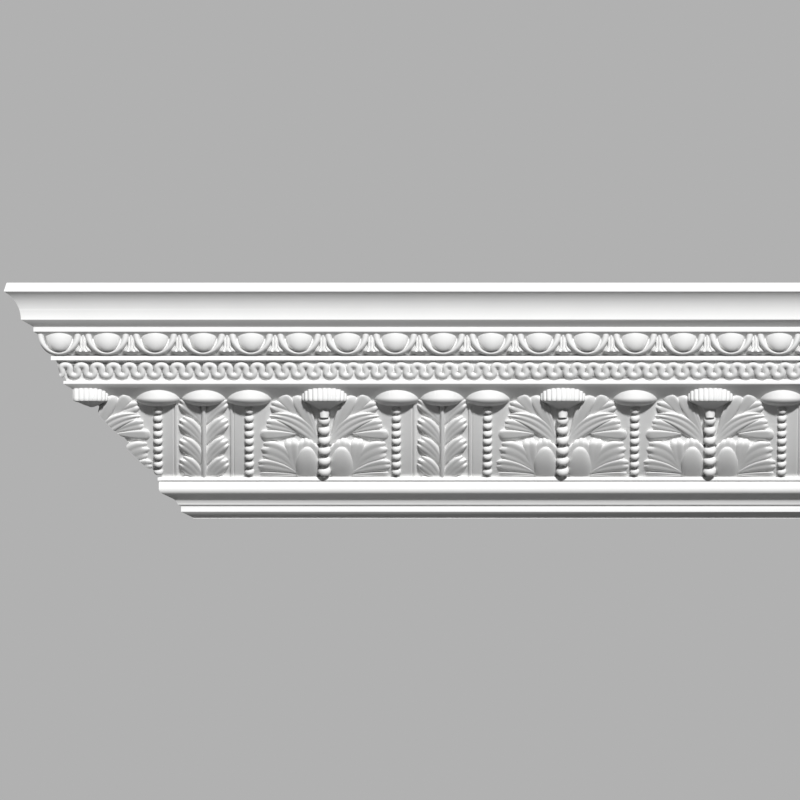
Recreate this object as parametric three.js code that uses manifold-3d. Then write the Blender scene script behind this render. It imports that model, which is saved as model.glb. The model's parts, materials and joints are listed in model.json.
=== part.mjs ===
// A length of enriched cornice moulding: cavetto crown, egg and dart, looped ribbon, and a frieze
// of palmettes, acanthus leaves and beaded pilasters under round caps, over a torus and fillets.
// One cast piece, mitred at its left end and cut square at its right end.
// Millimetres. X runs along the wall, Z is up, and the wall is the plane Y = 0. A projection is a
// distance out from the wall, towards -Y. Heights in the section are measured from its lower edge.

import * as THREE from 'three';
import * as BufferGeometryUtils from 'three/addons/utils/BufferGeometryUtils.js';
import Module from 'manifold-3d';

const wasm = await Module();
wasm.setup();

// Overall
const LENGTH = 670;                 // along the longest edge, at the crown
const WALL_SEAT = 40;               // height of the flat that is fixed to the wall
const CEILING_SEAT = 45;            // depth of the flat that meets the ceiling
const SOFFIT_SLOPE = 0.57;          // every soffit rises by this much for each mm it comes forward

// Members of the section, from the lower edge up
const LIP_PROJECTION = 1;
const LIP_HEIGHT = 1.2;
const FOOT_SOFFIT = 9;
const FOOT_FILLET = 4.8;
const FOOT_STEP = 1.8;
const COVE_DEPTH = 6;
const COVE_HEIGHT = 4;
const TORUS_SOFFIT = 9.6;
const TORUS_RADIUS = 4.6;
const TORUS_QUIRK = 1.6;
const NECK_PROJECTION = 3.6;
const NECK_FILLET = 2.8;
const NECK_LEDGE = 5.8;
const FRIEZE_HEIGHT = 62.1;
const FRIEZE_RUN = 57;
const CAP_SOFFIT = 26.8;
const RIBBON_FILLET = 3.2;
const RIBBON_SETBACK = 2.8;
const RIBBON_BAND_HEIGHT = 17.2;
const RIBBON_BAND_RUN = 9;
const EGG_FILLET_PROJECTION = 4.2;
const EGG_FILLET = 3;
const EGG_LEDGE = 6.8;
const OVOLO_RUN = 10.8;
const OVOLO_HEIGHT = 15.1;
const EGG_SOFFIT = 10.4;
const CROWN_FILLET = 4;
const CROWN_SOFFIT = 10.4;
const CAVETTO_RADIUS = 26.7;
const CAVETTO_TURN = 58 * Math.PI / 180;
const BROW_STEP = 1.7;
const BROW_FILLET = 7.4;
const BROW_LEAN = 2.5;

// Egg and dart
const EGG_PITCH = 40.2;
const EGG_START = 45.9;             // first egg's centre, from the left tip of the crown
const EGG_HALF_WIDTH = 12;
const EGG_HEIGHT = 15.4;
const EGG_BULGE = 8.4;
const SHELL_GAP = 0.8;              // between the egg and its shell
const SHELL_BAND = 4.6;
const SHELL_BAND_BELOW = 2.3;
const SHELL_RELIEF = 6;
const DART_BARB = 7.4;
const DART_RELIEF = 5;

// Looped ribbon
const RIBBON_PITCH = 13.4;
const RIBBON_START = 65.5;          // first arch, from the left tip of the crown
const RIBBON_REACH = 5.3;           // of its centre line, above and below the middle of the band
const RIBBON_STRAND = 2.6;          // from a loop's middle to the centre of each of its strands
const RIBBON_WIDTH = 4;
const RIBBON_RELIEF = 2.9;

// Frieze: bays between the beaded pilasters, from the left
const FIRST_PILASTER = 128.5;       // centre, from the left tip of the crown
const PALMETTE_BAY = 123.5;
const LEAF_BAY = 76.5;
const BAYS = ['leaf', 'palmette', 'leaf', 'palmette', 'palmette'];
const PILASTER_HALF_WIDTH = 15.8;
const PILASTER_RELIEF = 1.8;
const BEAD_RADIUS = 4;
const BEAD_RISE = 6.35;             // from one bead to the next, measured upright
const STEM_BEAD_RADIUS = 5.6;
const STEM_BEAD_RISE = 8.9;
const STEM_HALF_WIDTH = 4;
const STEM_RELIEF = 6;
const CAP_RADIUS = 19.8;
const CAP_DROP = 11.1;              // from the outer edge of the soffit to where the cap turns under
const CAP_DEPTH = 7;                // of the bowl below that
const CAP_AXIS = 81.6;              // projection of the caps' upright axis
const DRUM_RADIUS = 20.4;           // along the wall
const DRUM_REACH = 23;              // outwards
const DRUM_SQUARENESS = 3;          // 2 is an ellipse in plan
const DRUM_RIBS = 12;
const DRUM_RIB_DEPTH = 1;
const DRUM_BOTTOM = 14;             // below the outer edge of the soffit
const CONE_TOP = 17;
const CONE_FOOT = 6;
const CONE_HEIGHT = 5;
const PALMETTE_SHIFT = 1.2;         // of a palmette's stem from the middle of its bay
const PALMETTE_HALF_WIDTH = 57;
const LEAF_HALF_WIDTH = 20.5;
const LEAF_RIB_HALF_WIDTH = 2.6;
const LEAF_RELIEF = 6.2;
const SINK = 3;                     // how deep the carving is rooted in the ground behind it

// Solids

function solid(geometry) {
  geometry.deleteAttribute('normal');
  geometry.deleteAttribute('uv');
  const welded = BufferGeometryUtils.mergeVertices(geometry);
  const points = welded.attributes.position;
  const corner = (i) => new THREE.Vector3().fromBufferAttribute(points, welded.index.getX(i));
  const triangles = Uint32Array.from(welded.index.array);
  let volume = 0;
  for (let i = 0; i < triangles.length; i += 3) {
    volume += corner(i).dot(corner(i + 1).cross(corner(i + 2)));
  }
  if (volume < 0) {
    for (let i = 0; i < triangles.length; i += 3) {
      [triangles[i], triangles[i + 1]] = [triangles[i + 1], triangles[i]];
    }
  }
  const mesh = new wasm.Mesh({
    numProp: 3, vertProperties: Float32Array.from(points.array), triVerts: triangles,
  });
  return new wasm.Manifold(mesh);
}

function union(solids) {
  if (solids.length === 1) return solids[0];
  const half = Math.ceil(solids.length / 2);
  return union(solids.slice(0, half)).add(union(solids.slice(half)));
}

// A box bent by place(a, b, c): a runs from 0 to 1 along it, b from -1 to 1 across it, and c is 0
// at the back and 1 in front.
function bent(along, across, place) {
  const box = new THREE.BoxGeometry(1, 1, 1, along, across, 1);
  const points = box.attributes.position;
  for (let i = 0; i < points.count; i += 1) {
    const a = points.getX(i) + 0.5;
    const b = 2 * points.getY(i);
    const c = points.getZ(i) + 0.5;
    points.setXYZ(i, ...place(a, b, c));
  }
  return solid(box);
}

// Relief in front of its ground of a band with a ridge along its middle and its edges in the ground
function ridged(b, c, height) {
  if (c < 0.5) return -SINK;
  return b === 0 ? height : -SINK / 10;
}

// The section

const outline = new THREE.Shape();
const pen = { projection: LIP_PROJECTION, height: 0 };
outline.moveTo(pen.projection, pen.height);

function drawTo(projection, height) {
  pen.projection = projection;
  pen.height = height;
  outline.lineTo(projection, height);
  return { ...pen };
}
const rise = (height) => drawTo(pen.projection, pen.height + height);
const shift = (run) => drawTo(pen.projection + run, pen.height);
const soffit = (run) => drawTo(pen.projection + run, pen.height + run * SOFFIT_SLOPE);

function bow(curve) {
  const end = curve.getPoint(1);
  outline.curves.push(curve);
  outline.currentPoint.copy(end);
  pen.projection = end.x;
  pen.height = end.y;
  return curve;
}

rise(LIP_HEIGHT);
soffit(FOOT_SOFFIT);
rise(FOOT_FILLET);
soffit(FOOT_STEP);
bow(new THREE.EllipseCurve(pen.projection + COVE_DEPTH, pen.height, COVE_DEPTH, COVE_HEIGHT,
  Math.PI, Math.PI / 2, true));
soffit(TORUS_SOFFIT);
bow(new THREE.EllipseCurve(pen.projection, pen.height + TORUS_RADIUS, TORUS_RADIUS, TORUS_RADIUS,
  -Math.PI / 2, Math.PI / 2, false));
rise(TORUS_QUIRK);
shift(NECK_PROJECTION);
rise(NECK_FILLET);
const friezeFoot = shift(-NECK_LEDGE);

// The frieze is a bell: it leans out steeply at its foot and stands more upright above.
const frieze = bow(new THREE.CubicBezierCurve(
  new THREE.Vector2(friezeFoot.projection, friezeFoot.height),
  new THREE.Vector2(friezeFoot.projection + 0.35 * FRIEZE_RUN, friezeFoot.height + 0.24 * FRIEZE_HEIGHT),
  new THREE.Vector2(friezeFoot.projection + 0.74 * FRIEZE_RUN, friezeFoot.height + 0.70 * FRIEZE_HEIGHT),
  new THREE.Vector2(friezeFoot.projection + FRIEZE_RUN, friezeFoot.height + FRIEZE_HEIGHT)));
const friezeHead = { ...pen };
const capEdge = soffit(CAP_SOFFIT);
rise(RIBBON_FILLET);
const ribbonFoot = shift(-RIBBON_SETBACK);
const ribbonHead = drawTo(pen.projection + RIBBON_BAND_RUN, pen.height + RIBBON_BAND_HEIGHT);
shift(EGG_FILLET_PROJECTION);
rise(EGG_FILLET);
const ovoloFoot = shift(-EGG_LEDGE);
const ovolo = bow(new THREE.EllipseCurve(pen.projection, pen.height + OVOLO_HEIGHT,
  OVOLO_RUN, OVOLO_HEIGHT, -Math.PI / 2, 0, false));
const ovoloHead = { ...pen };
const crownEdge = soffit(EGG_SOFFIT);
rise(CROWN_FILLET);
soffit(CROWN_SOFFIT);
bow(new THREE.EllipseCurve(pen.projection + CAVETTO_RADIUS, pen.height, CAVETTO_RADIUS, CAVETTO_RADIUS,
  Math.PI, Math.PI - CAVETTO_TURN, true));
soffit(BROW_STEP);
const browEdge = { ...pen };
drawTo(pen.projection - BROW_LEAN, pen.height + BROW_FILLET);
const HEIGHT = pen.height;
const PROJECTION = browEdge.projection;
shift(-CEILING_SEAT);
drawTo(0, WALL_SEAT);
drawTo(0, 0);
outline.closePath();

// The origin is in the middle of the wall seat's height, halfway along the longest edge.
const LEFT = -LENGTH / 2;
const BASE = -WALL_SEAT / 2;
const CURVE_STEPS = 3;

function sectionSolid() {
  const run = new THREE.ExtrudeGeometry(outline, {
    depth: LENGTH, bevelEnabled: false, curveSegments: CURVE_STEPS,
  });
  const points = run.attributes.position;
  for (let i = 0; i < points.count; i += 1) {
    points.setXYZ(i, LEFT + points.getZ(i), -points.getX(i), BASE + points.getY(i));
  }
  return solid(run);
}

// Projection of a curved ground at a height in the section, and straight on past its ends
function projectionOn(curve, height) {
  let low = 0;
  let high = 1;
  for (let i = 0; i < 24; i += 1) {
    const middle = (low + high) / 2;
    if (curve.getPoint(middle).y < height) low = middle;
    else high = middle;
  }
  const point = curve.getPoint(low);
  const tangent = curve.getTangent(low);
  const beyond = height - point.y;
  return point.x + (Math.abs(beyond) > 0.01 ? beyond * tangent.x / Math.max(tangent.y, 0.2) : 0);
}
const onFrieze = (height) => projectionOn(frieze, height);
const onOvolo = (height) => projectionOn(ovolo, height);
const onRibbonBand = (height) => ribbonFoot.projection
  + (height - ribbonFoot.height) * RIBBON_BAND_RUN / RIBBON_BAND_HEIGHT;
const at = (x, projection, height) => [x, -projection, BASE + height];

// Egg and dart

function ball(segments, rings, centre, radii) {
  const sphere = new THREE.SphereGeometry(1, segments, rings);
  sphere.rotateX(Math.PI / 2);
  sphere.scale(...radii);
  sphere.translate(...centre);
  return solid(sphere);
}

function egg(x) {
  const top = crownEdge.height - 1.5;
  return ball(8, 4, at(x, ovoloHead.projection, top), [EGG_HALF_WIDTH, EGG_BULGE, EGG_HEIGHT]);
}

// The shell is a ridged band round the egg's sides and foot, thinner below.
function shell(x) {
  const top = crownEdge.height - 1.5;
  const across = EGG_HALF_WIDTH + SHELL_GAP + SHELL_BAND / 2;
  const down = EGG_HEIGHT + SHELL_GAP + SHELL_BAND_BELOW / 2;
  return bent(5, 2, (a, b, c) => {
    const turn = Math.PI * a;
    const below = Math.sin(turn);
    const half = (SHELL_BAND + (SHELL_BAND_BELOW - SHELL_BAND) * below) / 2;
    const out = x - (across + half * b) * Math.cos(turn);
    const height = top - (down + half * b) * below;
    return at(out, onOvolo(height) + ridged(b, c, SHELL_RELIEF), height);
  });
}

// The dart is a kite with a raised point, widest at its barbs.
function dart(x) {
  const top = crownEdge.height;
  const barb = ovoloFoot.height + 0.25 * OVOLO_HEIGHT;
  const kite = new THREE.OctahedronGeometry(1, 0);
  const points = kite.attributes.position;
  for (let i = 0; i < points.count; i += 1) {
    const up = points.getZ(i);
    const height = barb + up * (up > 0 ? top - barb : barb - ovoloFoot.height);
    const front = points.getY(i) < -0.5 ? DART_RELIEF : -SINK / 10;
    const projection = onOvolo(height) + (points.getY(i) > 0.5 ? -SINK : front);
    points.setXYZ(i, ...at(x + points.getX(i) * DART_BARB, projection, height));
  }
  return solid(kite);
}

// Looped ribbon: two strands stand close together in each loop, with a wider arch over the gap
// between loops. Its corners are square here, and each is mitred.

function ribbon(firstArch, arches) {
  const middle = (ribbonFoot.height + ribbonHead.height) / 2;
  const corners = 4 * arches;
  return bent(corners, 2, (a, b, c) => {
    const corner = Math.round(a * corners);
    const loop = firstArch + RIBBON_PITCH * (Math.floor(corner / 4) + 0.5);
    const side = corner % 4 < 2 ? -1 : 1;
    const level = corner % 4 === 1 || corner % 4 === 2 ? -1 : 1;
    const half = RIBBON_WIDTH / 2;
    const x = loop + side * (RIBBON_STRAND - b * half);
    const height = middle + level * RIBBON_REACH + b * half;
    return at(x, onRibbonBand(height) + ridged(b, c, RIBBON_RELIEF), height);
  });
}

// Frieze

function pilaster(x) {
  const foot = friezeFoot.height - 1;
  const drop = friezeHead.height + 4 - foot;
  return bent(4, 1, (a, b, c) => {
    const height = foot + a * drop;
    return at(x + b * PILASTER_HALF_WIDTH, onFrieze(height) + (c > 0.5 ? PILASTER_RELIEF : -SINK), height);
  });
}

// A string of touching beads: every other station is a bead's widest, and those between are waists.
function beads(x, radius, lift, relief, taper) {
  const count = Math.floor(FRIEZE_HEIGHT / lift);
  const stations = 2 * count;
  return bent(stations, 2, (a, b, c) => {
    const widest = Math.round(a * stations) % 2 === 1;
    const size = radius * (1 - taper * a) * (widest ? 1 : 0.4);
    const height = friezeFoot.height - 0.5 + a * count * lift;
    return at(x + b * size, onFrieze(height) + relief + ridged(b, c, size), height);
  });
}

// A round cap is upright down to its widest level, and a shallow bowl below.
function cap(x) {
  const widest = capEdge.height - CAP_DROP;
  const wall = new THREE.CylinderGeometry(CAP_RADIUS, CAP_RADIUS, CAP_DROP, 12, 1);
  wall.rotateX(Math.PI / 2);
  wall.translate(...at(x, CAP_AXIS, widest + CAP_DROP / 2));
  const bowl = ball(12, 4, at(x, CAP_AXIS, widest), [CAP_RADIUS, CAP_RADIUS, CAP_DEPTH]);
  return solid(wall).add(bowl);
}

// The palmette's cap is a ribbed drum on a cone that narrows to the stem.
function drum(x) {
  const top = capEdge.height + 1;
  const bottom = capEdge.height - DRUM_BOTTOM;
  const wall = new THREE.CylinderGeometry(DRUM_RADIUS, DRUM_RADIUS, top - bottom, 2 * DRUM_RIBS, 1);
  wall.rotateX(Math.PI / 2);
  const points = wall.attributes.position;
  for (let i = 0; i < points.count; i += 1) {
    const px = points.getX(i);
    const py = points.getY(i);
    const rib = Math.round(Math.atan2(py, px) / (Math.PI / DRUM_RIBS));
    const plan = (Math.abs(px / DRUM_RADIUS) ** DRUM_SQUARENESS
      + Math.abs(py / DRUM_REACH) ** DRUM_SQUARENESS) ** (-1 / DRUM_SQUARENESS);
    const spread = rib % 2 !== 0 ? plan * (1 - DRUM_RIB_DEPTH / DRUM_RADIUS) : plan;
    if (Math.hypot(px, py) > 1) points.setXYZ(i, px * spread, py * spread, points.getZ(i));
  }
  wall.translate(...at(x, CAP_AXIS, (top + bottom) / 2));
  const cone = new THREE.CylinderGeometry(CONE_TOP, CONE_FOOT, CONE_HEIGHT, 8, 1);
  cone.rotateX(Math.PI / 2);
  cone.translate(...at(x, CAP_AXIS, bottom + 0.5 - CONE_HEIGHT / 2));
  return solid(wall).add(solid(cone));
}

// Leaf lobes: out and up are shares of the half width and of the height from the frieze's foot to
// the soffit. A lobe runs from its root to its tip along a bowed line, and swells to its width
// two thirds of the way out. At its tip it keeps the share atTip of its relief.

function lobe(x, side, halfWidth, shape) {
  const { root, tip, bowing = 0, width, blunt = 0.5, relief = 1, atTip = -0.05 } = shape;
  const reach = friezeHead.height + 5 - friezeFoot.height;
  const start = new THREE.Vector2(root[0] * halfWidth, root[1] * reach);
  const end = new THREE.Vector2(tip[0] * halfWidth, tip[1] * reach);
  const line = end.clone().sub(start);
  const across = new THREE.Vector2(-line.y, line.x).normalize();
  const middle = start.clone().lerp(end, 0.5).addScaledVector(across, 2 * bowing * line.length());
  const centre = new THREE.QuadraticBezierCurve(start, middle, end);
  const swell = (a) => (a < 0.67 ? 0.35 + 0.65 * Math.sin(Math.PI * a / 1.34)
    : blunt + (1 - blunt) * Math.cos(Math.PI * (a - 0.67) / 0.66));
  return bent(2, 2, (a, b, c) => {
    const point = centre.getPoint(a);
    const tangent = centre.getTangent(a);
    const half = 0.5 * width * halfWidth * swell(a);
    const out = point.x - tangent.y * b * half;
    const height = friezeFoot.height + Math.max(point.y + tangent.x * b * half, -0.8);
    const front = LEAF_RELIEF * relief * [-0.05, 1, atTip][Math.round(2 * a)];
    return at(x + side * out, onFrieze(height) + ridged(b, c, front), height);
  });
}

const PALMETTE_LOBES = [
  { root: [0.12, 0.52], tip: [0.47, 1.03], bowing: 0.02, width: 0.19, blunt: 0.8, relief: 1.15 },
  { root: [0.32, 0.72], tip: [0.66, 1.02], bowing: 0.02, width: 0.19, blunt: 0.9, relief: 1.0 },
  { root: [0.38, 0.77], tip: [0.80, 0.88], bowing: 0.02, width: 0.19, blunt: 0.9, relief: 0.95 },
  { root: [0.12, 0.45], tip: [0.82, 0.76], bowing: 0.12, width: 0.23, blunt: 0.5, relief: 1.1 },
  { root: [0.40, 0.56], tip: [0.88, 0.65], bowing: 0.06, width: 0.16, blunt: 0.8, relief: 0.95 },
  { root: [0.42, 0.53], tip: [0.95, 0.51], bowing: 0.01, width: 0.15, blunt: 0.9, relief: 0.95 },
  { root: [0.25, 0.00], tip: [0.25, 0.44], bowing: 0, width: 0.34, blunt: 0.6, relief: 1.25 },
  { root: [0.42, 0.06], tip: [0.50, 0.50], bowing: 0.0, width: 0.22, blunt: 0.8, relief: 1.0 },
  { root: [0.44, 0.10], tip: [0.95, 0.34], bowing: 0.12, width: 0.32, blunt: 0.7, relief: 1.05, atTip: 0.55 },
  { root: [0.42, 0.04], tip: [0.97, 0.15], bowing: 0.04, width: 0.17, blunt: 0.8, relief: 0.9 },
];

const LEAF_LOBES = [0.13, 0.33, 0.56, 0.78].map((up, i) => (
  { root: [0.10, up], tip: [1.0 - 0.04 * i, up + 0.25], bowing: 0.08, width: 0.62, blunt: 0.4, relief: 0.8 }
));

function palmette(x) {
  const stem = bent(3, 2, (a, b, c) => {
    const height = friezeFoot.height - 0.5 + a * FRIEZE_HEIGHT;
    return at(x + b * STEM_HALF_WIDTH, onFrieze(height) + ridged(b, c, STEM_RELIEF), height);
  });
  const lobes = [-1, 1].flatMap((side) => PALMETTE_LOBES.map(
    (shape) => lobe(x, side, PALMETTE_HALF_WIDTH, shape)));
  return union([stem, ...lobes, beads(x, STEM_BEAD_RADIUS, STEM_BEAD_RISE, STEM_RELIEF, 0.25), drum(x)]);
}

function acanthus(x) {
  const rib = bent(3, 2, (a, b, c) => {
    const height = friezeFoot.height - 0.5 + a * FRIEZE_HEIGHT;
    return at(x + b * LEAF_RIB_HALF_WIDTH, onFrieze(height) + ridged(b, c, LEAF_RELIEF), height);
  });
  const lobes = [-1, 1].flatMap((side) => LEAF_LOBES.map(
    (shape) => lobe(x, side, LEAF_HALF_WIDTH, shape)));
  return union([rib, ...lobes, cap(x)]);
}

function beadedPilaster(x) {
  return union([pilaster(x), beads(x, BEAD_RADIUS, BEAD_RISE, PILASTER_RELIEF, 0), cap(x)]);
}

// Everything along the length

function repeats(start, pitch, place) {
  const before = Math.ceil((start - LEFT) / pitch);
  const after = Math.ceil((-LEFT - start) / pitch);
  return Array.from({ length: before + after + 1 }, (_, i) => place(start + (i - before) * pitch));
}

function friezeCarving() {
  const carving = [];
  let x = LEFT + FIRST_PILASTER;
  const width = { palmette: PALMETTE_BAY, leaf: LEAF_BAY };
  carving.push(beadedPilaster(x), palmette(x - PALMETTE_BAY / 2 + PALMETTE_SHIFT));
  for (const bay of BAYS) {
    carving.push(bay === 'leaf' ? acanthus(x + LEAF_BAY / 2)
      : palmette(x + PALMETTE_BAY / 2 + PALMETTE_SHIFT));
    x += width[bay];
    carving.push(beadedPilaster(x));
  }
  return carving;
}

// The piece between the mitre, where length and projection grow together, and the square end
function extent() {
  const size = 2 * (LENGTH + PROJECTION + HEIGHT);
  const mitred = new THREE.BoxGeometry(size, size, size);
  mitred.translate(size / 2, 0, 0);
  mitred.rotateZ(-Math.PI / 4);
  mitred.translate(LEFT + PROJECTION, 0, 0);
  const squared = new THREE.BoxGeometry(size, size, size);
  squared.translate(-LEFT - size / 2, 0, 0);
  return solid(mitred).intersect(solid(squared));
}

// The mitre can leave a crumb of carving that touches nothing: only the moulding itself is kept.
function withoutCrumbs(body) {
  return body.decompose().reduce((kept, piece) => (piece.volume() > kept.volume() ? piece : kept));
}

function corniceGeometry() {
  const firstArch = LEFT + RIBBON_START - 2 * RIBBON_PITCH;
  const arches = Math.ceil((-LEFT - firstArch) / RIBBON_PITCH) + 1;
  const whole = union([
    sectionSolid(),
    ...repeats(LEFT + EGG_START, EGG_PITCH, egg),
    ...repeats(LEFT + EGG_START, EGG_PITCH, shell),
    ...repeats(LEFT + EGG_START + EGG_PITCH / 2, EGG_PITCH, dart),
    ribbon(firstArch, arches),
    ...friezeCarving(),
  ]).intersect(extent());
  const mesh = withoutCrumbs(whole).getMesh();
  const geometry = new THREE.BufferGeometry();
  geometry.setAttribute('position', new THREE.BufferAttribute(mesh.vertProperties, 3));
  geometry.setIndex(new THREE.BufferAttribute(mesh.triVerts, 1));
  geometry.computeVertexNormals();
  return geometry;
}

const plaster = new THREE.MeshStandardMaterial({ color: 0xf1f1ef, roughness: 0.85, metalness: 0 });
const cornice = new THREE.Mesh(corniceGeometry(), plaster);
cornice.name = 'cornice_length';

const part = new THREE.Group();
part.add(cornice);

export default part;
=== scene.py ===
"""A length of enriched cornice moulding: egg and dart, looped ribbon, and a frieze of palmettes.

The moulding is one closed mesh. Each enrichment is a closed surface that stands on the section and
is rooted in it, and all of them are joined to the section and cut at the ends of the length.
Lengths are in metres. X runs along the wall, Z is up, and the wall is the plane Y = 0. A projection
is a distance out from the wall, towards -Y. Heights in the section start at its lower edge.
"""

import json
import math

import bpy
import numpy as np
from bpy.props import FloatProperty, FloatVectorProperty, IntProperty, PointerProperty
from bpy.types import Operator, Panel, PropertyGroup
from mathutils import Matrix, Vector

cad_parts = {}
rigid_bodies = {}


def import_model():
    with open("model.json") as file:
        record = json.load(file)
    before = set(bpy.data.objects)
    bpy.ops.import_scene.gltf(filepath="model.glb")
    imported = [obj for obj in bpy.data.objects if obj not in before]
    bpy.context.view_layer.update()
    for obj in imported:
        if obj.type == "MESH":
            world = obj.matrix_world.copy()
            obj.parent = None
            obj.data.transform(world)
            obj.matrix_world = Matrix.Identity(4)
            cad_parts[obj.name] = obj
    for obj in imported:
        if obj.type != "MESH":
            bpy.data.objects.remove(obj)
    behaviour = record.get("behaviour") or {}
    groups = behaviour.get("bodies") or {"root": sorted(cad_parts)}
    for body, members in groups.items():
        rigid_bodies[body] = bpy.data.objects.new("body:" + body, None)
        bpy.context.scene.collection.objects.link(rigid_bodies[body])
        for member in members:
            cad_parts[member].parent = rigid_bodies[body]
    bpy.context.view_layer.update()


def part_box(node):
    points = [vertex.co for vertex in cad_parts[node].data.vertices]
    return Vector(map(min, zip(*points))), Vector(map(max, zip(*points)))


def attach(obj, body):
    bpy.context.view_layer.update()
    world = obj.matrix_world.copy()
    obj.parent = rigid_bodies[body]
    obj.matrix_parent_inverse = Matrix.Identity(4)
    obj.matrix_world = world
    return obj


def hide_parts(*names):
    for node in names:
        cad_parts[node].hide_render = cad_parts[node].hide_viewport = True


bl_info = {
    "name": "Cornice moulding length",
    "version": (1, 0, 0),
    "blender": (4, 5, 0),
    "location": "3D View > Sidebar > Cornice",
    "description": "Makes an enriched cornice moulding and the studio it stands in",
    "category": "Add Mesh",
}

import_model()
LOW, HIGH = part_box("cornice_length")
MM = 0.001
SINK = 3 * MM            # how deep an enrichment is rooted in the ground behind it
OVERRUN = 6 * MM         # how far surfaces run on past the ends of the length before they are cut
EGG_DROP = 1.5 * MM      # from the outer edge of the crown's soffit down to an egg's widest level
STEM_HALF_WIDTH = 4 * MM
VEIN_HALF_WIDTH = 2.4 * MM


def length(name, millimetres, description):
    """A size that a user can change, given in millimetres."""
    return FloatProperty(name=name, description=description, default=millimetres * MM,
                         unit="LENGTH", min=0.0, precision=4)


def ratio(name, value, description):
    return FloatProperty(name=name, description=description, default=value)


def degrees(name, value, description):
    return FloatProperty(name=name, description=description, default=math.radians(value),
                         subtype="ANGLE")


def colour(name, value, description):
    return FloatVectorProperty(name=name, description=description, default=value,
                               subtype="COLOR", min=0, max=1)


def group(kind, name, description):
    return PointerProperty(type=kind, name=name, description=description)


# Sizes

class CORNICE_PG_section(PropertyGroup):
    wall_seat: length("Wall seat", 40, "Height of the flat that is fixed to the wall")
    ceiling_seat: length("Ceiling seat", 45, "Depth of the flat that meets the ceiling")
    soffit_slope: ratio("Soffit slope", 0.57, "Rise of each soffit over the frieze for its run")
    foot_slope: ratio("Foot slope", 0.48, "Rise of each soffit under the frieze for its run")
    lip: length("Lip", 1, "Projection of the lower edge")
    lip_height: length("Lip height", 0.95, "Height of the lower edge")
    foot_soffit: length("Foot soffit", 10.12, "Run of the soffit under the foot fillet")
    foot_fillet: length("Foot fillet", 5.0, "Height of the foot fillet")
    foot_step: length("Foot step", 2.4, "Run of the step under the cove")
    foot_step_rise: length("Foot step rise", 0.85, "Rise of the step under the cove")
    cove_radius: length("Cove radius", 15.0, "Radius of the shallow cove over the foot")
    torus_soffit: length("Torus soffit", 9.95, "Run of the soffit under the torus")
    torus_radius: length("Torus radius", 5.3, "Radius of the torus's lower side")
    torus_face: length("Torus face", 3.7, "Height of its upright face")
    torus_shoulder: length("Torus shoulder", 2.2, "Radius of its upper side")
    torus_quirk: length("Torus quirk", 0.3, "Height of the quirk over the torus")
    neck_projection: length("Neck projection", 0.95, "How far the neck fillet overhangs the torus")
    neck_fillet: length("Neck fillet", 3.19, "Height of the neck fillet")
    neck_ledge: length("Neck ledge", 5.4, "Depth of the ledge that the frieze stands on")
    frieze_height: length("Frieze height", 62.8, "Height of the frieze")
    frieze_run: length("Frieze run", 57, "How far the frieze leans out")
    cap_soffit: length("Cap soffit", 26.8, "Run of the soffit over the frieze")
    ribbon_fillet: length("Ribbon fillet", 2.5, "Height of the fillet under the ribbon")
    ribbon_setback: length("Ribbon setback", 2.8, "Depth of the ledge under the ribbon")
    ribbon_height: length("Ribbon band height", 17.2, "Height of the band behind the ribbon")
    ribbon_run: length("Ribbon band run", 9, "How far the band behind the ribbon leans out")
    egg_fillet_projection: length("Egg fillet projection", 4.2, "Run under the egg fillet")
    egg_fillet: length("Egg fillet", 3.8, "Height of the fillet under the eggs")
    egg_ledge: length("Egg ledge", 6.8, "Depth of the ledge under the eggs")
    ovolo_run: length("Ovolo run", 10.8, "Run of the ovolo behind the eggs")
    ovolo_height: length("Ovolo height", 14.3, "Height of the ovolo behind the eggs")
    egg_soffit: length("Egg soffit", 10.4, "Run of the soffit over the eggs")
    crown_fillet: length("Crown fillet", 4, "Height of the fillet over the eggs")
    crown_soffit: length("Crown soffit", 10.4, "Run of the soffit under the cavetto")
    cavetto_radius: length("Cavetto radius", 26.7, "Radius of the cavetto")
    cavetto_turn: degrees("Cavetto turn", 58, "Angle through which the cavetto turns")
    brow_step: length("Brow step", 1.7, "Run of the step under the brow fillet")
    brow_fillet: length("Brow fillet", 7.4, "Height of the top fillet")
    brow_lean: length("Brow lean", 2.5, "How far the top fillet leans back")
    ease: length("Eased edge", 0.35, "How far each edge of the section is eased")


class CORNICE_PG_eggs(PropertyGroup):
    pitch: length("Pitch", 40.2, "Distance from one egg to the next")
    start: length("Start", 45.9, "First egg's centre, from the left tip of the crown")
    half_width: length("Half width", 11.8, "Half the width of an egg")
    height: length("Height", 15.2, "Height of an egg below its widest level")
    bulge: length("Bulge", 8.4, "How far an egg stands out")
    gap: length("Gap", 0.7, "Groove between an egg and its shell")
    band: length("Shell band", 6.4, "Width of the shell beside the egg")
    band_below: length("Shell band below", 3.1, "Width of the shell under the egg")
    shell_relief: length("Shell relief", 7.2, "How far the shell stands out")
    dart_top: length("Dart top", 5.4, "Half width of a dart at its head")
    dart_waist: length("Dart waist", 2.8, "Half width of a dart at its waist")
    dart_barb: length("Dart barb", 6.9, "Half width of a dart at its barbs")
    dart_relief: length("Dart relief", 5.6, "How far a dart stands out")
    dart_groove: length("Dart groove", 2.8, "Depth of the two grooves down a dart")


class CORNICE_PG_ribbon(PropertyGroup):
    pitch: length("Pitch", 13.4, "Distance from one arch to the next")
    start: length("Start", 64.9, "First arch, from the left tip of the crown")
    reach: length("Reach", 4.6, "Height of the ribbon's centre line over the middle of its band")
    lean: length("Lean", 0.55, "How far each strand leans to either side of upright")
    tuck: length("Tuck", 1.45, "How far its strands are drawn together")
    width: length("Width", 5.8, "Width of the ribbon")
    relief: length("Relief", 3.9, "How far the ribbon stands out")


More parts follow.
